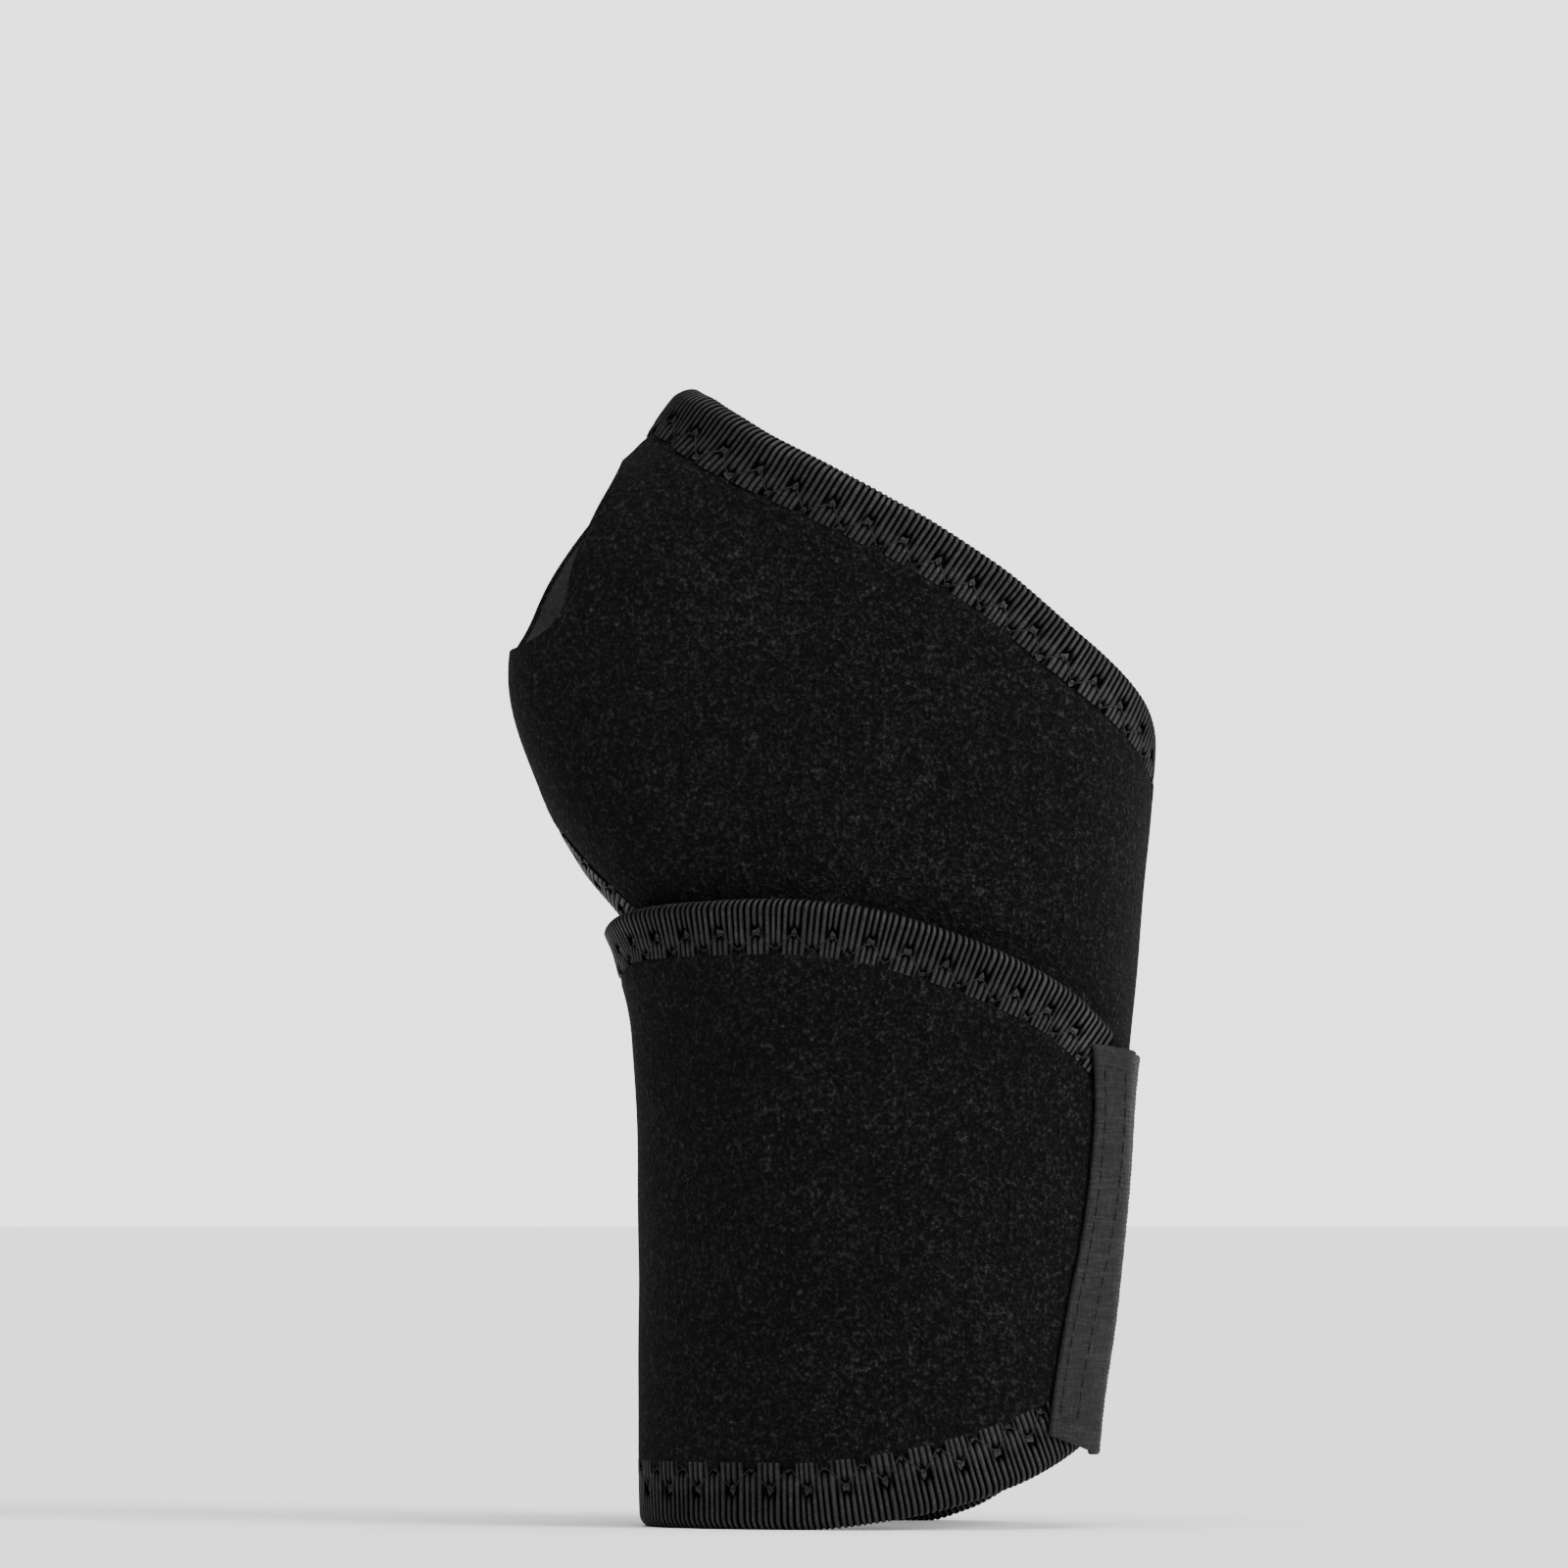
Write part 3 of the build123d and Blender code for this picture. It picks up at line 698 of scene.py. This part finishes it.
def combine(tree, a, b, operation="MULTIPLY"):
    node = tree.nodes.new("ShaderNodeMath")
    node.operation = operation
    for value, socket in ((a, node.inputs[0]), (b, node.inputs[1])):
        if isinstance(value, (int, float)):
            socket.default_value = value
        else:
            tree.links.new(value, socket)
    return node.outputs[0]


def colour(tree, value, stops):
    node = tree.nodes.new("ShaderNodeValToRGB")
    tree.links.new(value, node.inputs["Fac"])
    ramp = node.color_ramp
    while len(ramp.elements) < len(stops):
        ramp.elements.new(0.5)
    for element, (position, shade) in zip(ramp.elements, stops):
        element.position = position
        element.color = (*shade, 1)
    return node.outputs["Color"]


def attribute(tree, name):
    node = tree.nodes.new("ShaderNodeAttribute")
    node.attribute_name = name
    return node.outputs["Fac"]


def bump(tree, shader, height, distance, strength=1.0):
    node = tree.nodes.new("ShaderNodeBump")
    tree.links.new(height, node.inputs["Height"])
    node.inputs["Distance"].default_value = distance
    node.inputs["Strength"].default_value = strength
    tree.links.new(node.outputs["Normal"], shader.inputs["Normal"])


def set_sockets(shader, **values):
    for name, value in values.items():
        shader.inputs[name.replace("_", " ")].default_value = value


def plush_material():
    """Brushed loop fabric: almost black, with a short matt pile and pale flecks, painted highlights
    where its loops catch the light.
    """
    material, tree, shader, place = new_material("plush_face")
    loop_glint = noise(tree, place, 1750, 3.0, 0.7)
    pile = noise(tree, place, 800, 3.0, 0.7)
    cloud = noise(tree, place, 70, 3.0, 0.5)
    # The flecks mark pile loops. Their lighter colour is a painted highlight of loops catching
    # light, and the flecks are also a little less rough.
    tone = combine(tree, remap(tree, loop_glint, 0.42, 0.72, 0.0, 0.9),
                   remap(tree, pile, 0.35, 0.65, -0.22, 0.22), "ADD")
    tone = combine(tree, tone, remap(tree, cloud, 0.3, 0.7, -0.05, 0.08), "ADD")
    shade = colour(tree, tone, [(0.0, (0.0010, 0.0010, 0.0010)), (0.35, (0.0032, 0.0031, 0.0032)),
                                (0.7, (0.0122, 0.0118, 0.0120)), (1.0, (0.0300, 0.0290, 0.0290))])
    tree.links.new(shade, shader.inputs["Base Color"])
    tree.links.new(remap(tree, loop_glint, 0.4, 0.8, 0.95, 0.80), shader.inputs["Roughness"])
    set_sockets(shader, Specular_IOR_Level=0.07, Sheen_Weight=0.01, Sheen_Roughness=0.4)
    bump(tree, shader, combine(tree, pile, loop_glint, "ADD"), 0.0008, 1.0)
    return material


def tape_material():
    """Ribbed binding tape: warm charcoal, with painted shade that darkens it and dulls its shine
    down in its grooves and stitch holes.
    """
    material, tree, shader, place = new_material("binding_tape")
    thread = noise(tree, place, 2400, 2.0, 0.6)
    wear = noise(tree, place, 160, 4.0, 0.6)
    tone = combine(tree, remap(tree, thread, 0.3, 0.7, 0.25, 0.8),
                   remap(tree, wear, 0.35, 0.7, 0.0, 0.25), "ADD")
    groove_depth_and_shade = attribute(tree, "groove_depth_and_shade")
    # Painted shade: the base colour drops to near black where grooves and stitch dents are deep.
    tone = combine(tree, tone, remap(tree, groove_depth_and_shade, 0.05, 0.72, 1.0, 0.08))
    shade = colour(tree, tone, [(0.0, (0.0006, 0.0006, 0.0006)), (0.4, (0.0042, 0.0040, 0.0039)),
                                (0.75, (0.0130, 0.0123, 0.0120)), (1.0, (0.0300, 0.0286, 0.0280))])
    tree.links.new(shade, shader.inputs["Base Color"])
    tree.links.new(remap(tree, wear, 0.3, 0.7, 0.66, 0.50), shader.inputs["Roughness"])
    # Painted shade too: the specular fades out down in the grooves and dents.
    tree.links.new(remap(tree, groove_depth_and_shade, 0.05, 0.5, 0.24, 0.0), shader.inputs["Specular IOR Level"])
    bump(tree, shader, thread, 0.00010, 0.8)
    return material


def thread_material():
    """Twisted polyester sewing thread, dark with a soft shine."""
    material, tree, shader, place = new_material("thread")
    twist = noise(tree, place, 4200, 1.0, 0.5)
    shade = colour(tree, twist, [(0.3, (0.0012, 0.0012, 0.0012)), (0.7, (0.0062, 0.0060, 0.0060))])
    tree.links.new(shade, shader.inputs["Base Color"])
    set_sockets(shader, Roughness=0.60, Specular_IOR_Level=0.15, Sheen_Weight=0.01)
    bump(tree, shader, twist, 0.00006, 0.6)
    return material


def tab_material():
    """Woven nylon tape: grey, with fine yarns along the tape crossed by finer ones."""
    material, tree, shader, place = new_material("tab_tape")
    yarn = noise(tree, place, 1500, 2.0, 0.55, (0.12, 0.12, 1.9))
    weave = noise(tree, place, 2300, 1.0, 0.5, (1.4, 1.4, 0.35))
    cloud = noise(tree, place, 90, 3.0, 0.5)
    tone = combine(tree, combine(tree, remap(tree, yarn, 0.3, 0.7, 0.0, 0.5),
                                 remap(tree, weave, 0.3, 0.7, 0.0, 0.3), "ADD"),
                   remap(tree, cloud, 0.3, 0.7, 0.0, 0.2), "ADD")
    shade = colour(tree, tone, [(0.0, (0.0016, 0.0015, 0.0016)), (0.5, (0.0050, 0.0048, 0.0050)),
                                (1.0, (0.0180, 0.0174, 0.0180))])
    tree.links.new(shade, shader.inputs["Base Color"])
    tree.links.new(remap(tree, weave, 0.3, 0.7, 0.74, 0.60), shader.inputs["Roughness"])
    set_sockets(shader, Specular_IOR_Level=0.18, Sheen_Weight=0.01, Sheen_Roughness=0.4)
    bump(tree, shader, combine(tree, yarn, weave, "ADD"), 0.00012, 1.0)
    return material


def lining_material():
    """Fine knitted jersey: ribs of stitches running up the strip."""
    material, tree, shader, place = new_material("lining")
    knit = noise(tree, place, 1600, 1.0, 0.5, (1.6, 1.6, 0.5))
    cloud = noise(tree, place, 60, 3.0, 0.5)
    tone = combine(tree, remap(tree, knit, 0.3, 0.7, 0.0, 0.7),
                   remap(tree, cloud, 0.3, 0.7, 0.0, 0.3), "ADD")
    shade = colour(tree, tone, [(0.0, (0.0020, 0.0020, 0.0021)), (1.0, (0.0095, 0.0093, 0.0096))])
    tree.links.new(shade, shader.inputs["Base Color"])
    tree.links.new(remap(tree, knit, 0.3, 0.7, 0.88, 0.74), shader.inputs["Roughness"])
    set_sockets(shader, Specular_IOR_Level=0.25, Sheen_Weight=0.04)
    bump(tree, shader, knit, 0.00012, 0.8)
    return material


def foam_material():
    """Closed-cell foam rubber: matt black with fine cut pores."""
    material, tree, shader, place = new_material("foam")
    pore = noise(tree, place, 2400, 3.0, 0.7)
    shade = colour(tree, pore, [(0.35, (0.006, 0.006, 0.006)), (0.7, (0.018, 0.018, 0.018))])
    tree.links.new(shade, shader.inputs["Base Color"])
    set_sockets(shader, Roughness=0.9, Specular_IOR_Level=0.2)
    bump(tree, shader, pore, 0.00012, 0.9)
    return material


def hook_material():
    """Moulded nylon hooks: grey, slightly shiny."""
    material, tree, shader, place = new_material("hooks")
    grain = noise(tree, place, 1200, 2.0, 0.5)
    shade = colour(tree, grain, [(0.3, (0.030, 0.030, 0.031)), (0.7, (0.055, 0.055, 0.057))])
    tree.links.new(shade, shader.inputs["Base Color"])
    set_sockets(shader, Roughness=0.42, Specular_IOR_Level=0.5)
    bump(tree, shader, grain, 0.00003, 0.4)
    return material


plush, tape_cloth, thread = plush_material(), tape_material(), thread_material()
tab_cloth, jersey = tab_material(), lining_material()
foam, nylon = foam_material(), hook_material()

# ---- the pieces ---------------------------------------------------------------------------
# Stretches of the strip: name, start, end, fineness, body, the body beyond a fold that it crosses,
# and the CAD stretches it stands for.
HINGE_REACH = 0.006             # a fold's reach from its hinge, handed to hang_on
TAB_REACH = (0.0005, 0.0045)    # and the tab's, back and on
STRETCHES = [("hand", STRIP_START, WRIST_START, 0.0008, "hand_wrap", None,
              ("hand", "lobe", "wrist")),
             ("wrist", WRIST_START, FOLD_START, 0.0010, "hand_wrap", None, ("wrist",)),
             ("fold", FOLD_START, STRAP_START, 0.0007, "hand_wrap", "strap_inner",
              ("wrist", "strap_inner")),
             ("strap", STRAP_START, STRAP_END, 0.0006, "strap_inner", "strap_outer",
              ("strap_inner", "strap_outer"))]


def hang_on(piece, body, next_body, reach_back=HINGE_REACH, reach_on=HINGE_REACH):
    """Rides a piece on a body; a piece that crosses a joint to a next body only has its transform
    baked.
    """
    if not next_body:
        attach(piece, body)
        return
    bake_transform(piece)


def cad_nodes(stretches, part):
    """The CAD nodes of one part that some stretches stand for."""
    names = [f"{s}_{part}" for s in stretches]
    return [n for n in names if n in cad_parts]


def lobe_heights(angle):
    """Upper and lower height of the lobe's edge at winding angles short of its root."""
    around, height = lobe_places()
    tip = around.argmin()
    high = np.interp(angle, around[tip::-1], height[tip::-1])
    low = np.interp(angle, around[tip:], height[tip:])
    return high, low


def cut_size(start, end):
    """Length, greatest width and area a stretch of laminate is cut to, from the edge curves."""
    has_lobe = start < LOBE_ROOT
    angle = np.linspace(lobe_places()[0].min() if has_lobe else start, end, 600)
    high, low = upper_edge(angle), lower_edge(angle)
    if has_lobe:
        on_lobe = angle < LOBE_ROOT
        high[on_lobe], low[on_lobe] = lobe_heights(angle[on_lobe])
    steps = np.diff(surface(angle, (high + low) / 2, LAMINATE / 2), axis=0)
    run = np.linalg.norm(steps, axis=1)
    level = np.hypot(steps[:, 0], steps[:, 1])
    tall = np.maximum(((high - low)[1:] + (high - low)[:-1]) / 2, 0)
    hole = HOLE_LENGTH * HOLE_WIDTH - (4 - math.pi) * HOLE_CORNER ** 2
    area = (tall * level).sum() - (hole if has_lobe else 0)
    return float(run.sum()), float((tall * level / run).max()), float(area)


LAYERS = [("face", FACE_INSIDE, LAMINATE, plush, "plush_face", "face_fabric"),
          ("foam", LINING, FACE_INSIDE - GLUE, foam, "foam", "foam_core"),
          ("lining", 0.0, LINING - GLUE, jersey, "lining", "lining")]

for stretch, start, end, fine, body, next_body, stands_for in STRETCHES:
    length, width, cut_area = cut_size(start, end)
    for layer, inner, outer, cloth, slot, cad_name in LAYERS:
        coarse = fine if layer == "face" else fine * 1.5
        piece = slab(f"{stretch}_{layer}_cloth", start, end, inner, outer, cloth, coarse)
        hang_on(piece, body, next_body)
        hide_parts(*cad_nodes(stands_for, cad_name))

EDGES = {"upper": strip_edge(upper_edge, -1), "lower": strip_edge(lower_edge, 1)}
BOUND = [(f"{name}_{row}", edge, start, end, body, next_body, stands_for, f"{row}_")
         for row, edge in EDGES.items()
         for name, start, end, body, next_body, stands_for in (
             ("hand", LOBE_ROOT, FOLD_START, "hand_wrap", None, ("hand", "wrist")),
             ("fold", FOLD_START, STRAP_START, "hand_wrap", "strap_inner",
              ("wrist", "strap_inner")),
             ("strap", STRAP_START, STRAP_END, "strap_inner", "strap_outer",
              ("strap_inner", "strap_outer")))]
BOUND.append(("lobe", lobe_edge(), None, None, "hand_wrap", None, ("lobe",), ""))

for name, edge, start, end, body, next_body, stands_for, row in BOUND:
    stretch = part_of(edge, start, end) if start else edge
    band = tape(f"{name}_binding_tape", stretch, tape_cloth)
    hang_on(band, body, next_body)
    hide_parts(*cad_nodes(stands_for, f"{row}binding"))
    length = float(stretch[4][-1] - stretch[4][0])
    seam = zigzag_thread(f"{name}_zigzag", edge, start, end, thread)
    hang_on(seam, body, next_body)
    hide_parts(*cad_nodes(stands_for, f"{row}stitching"))

# The tab is cut as long as its leaning sides are in the photograph, 58 mm.
tab = tab_tape_piece(tab_cloth)
hang_on(tab, "strap_outer", "hook_tab", *TAB_REACH)
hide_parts("tab_sewn_tape", "tab_free_tape")
tab_seam = tab_stitches(thread)
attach(tab_seam, "strap_outer")
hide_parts("tab_stitching")
hook_field = tab_hook_field(nylon)
hang_on(hook_field, "strap_outer", "hook_tab", *TAB_REACH)
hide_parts("tab_hooks")

# ---- floor, light and camera --------------------------------------------------------------
CAMERA_X = AXIS[0] - 0.0141
CAMERA_AWAY = 1.6
PHOTO_WIDTH = 1600              # pixels
PIXELS_PER_METRE = 7100         # in the photograph, at the brace
AIM_HEIGHT = 0.1063
CAMERA_HEIGHT = 0.045
SENSOR = 36                     # width in millimetres

floor_cloth, _, floor_shader, _ = new_material("floor")
set_sockets(floor_shader, Base_Color=(0.97, 0.97, 0.97, 1), Roughness=0.9)
bpy.ops.mesh.primitive_plane_add(size=60)
floor = bpy.context.object
floor.name = "floor"
floor.data.materials.append(floor_cloth)

world = bpy.data.worlds.new("studio")
bpy.context.scene.world = world
world.use_nodes = True
sky = world.node_tree
shown = sky.nodes["Background"]
shown.inputs["Color"].default_value = (1.0, 1.0, 1.0, 1)
shown.inputs["Strength"].default_value = 2.6
ambient = sky.nodes.new("ShaderNodeBackground")
ambient.inputs["Color"].default_value = (0.96, 0.98, 1.0, 1)
ambient.inputs["Strength"].default_value = 0.45
mix = sky.nodes.new("ShaderNodeMixShader")
sky.links.new(sky.nodes.new("ShaderNodeLightPath").outputs["Is Camera Ray"], mix.inputs[0])
sky.links.new(ambient.outputs[0], mix.inputs[1])
sky.links.new(shown.outputs[0], mix.inputs[2])
sky.links.new(mix.outputs[0], sky.nodes["World Output"].inputs["Surface"])


def soft_sun(name, place, strength, spread):
    """A sun that shines from the direction of a place."""
    lamp = bpy.data.lights.new(name, "SUN")
    lamp.energy = strength
    lamp.angle = math.radians(spread)
    holder = bpy.data.objects.new(name, lamp)
    holder.rotation_euler = Vector(place).to_track_quat("Z", "Y").to_euler()
    bpy.context.collection.objects.link(holder)


soft_sun("key", (0.95, -0.62, 0.55), 4.2, 25)
soft_sun("top", (0.1, -0.15, 1.0), 3.4, 50)

lens = bpy.data.cameras.new("photo_view")
camera = bpy.data.objects.new("photo_view", lens)
eye = Vector((CAMERA_X, -CAMERA_AWAY, CAMERA_HEIGHT))
aim = Vector((CAMERA_X, 0, AIM_HEIGHT))
camera.location = eye
camera.rotation_euler = (aim - eye).to_track_quat("-Z", "Y").to_euler()
lens.sensor_width = SENSOR
lens.lens = SENSOR * PIXELS_PER_METRE * (aim - eye).length / PHOTO_WIDTH
bpy.context.collection.objects.link(camera)
bpy.context.scene.camera = camera
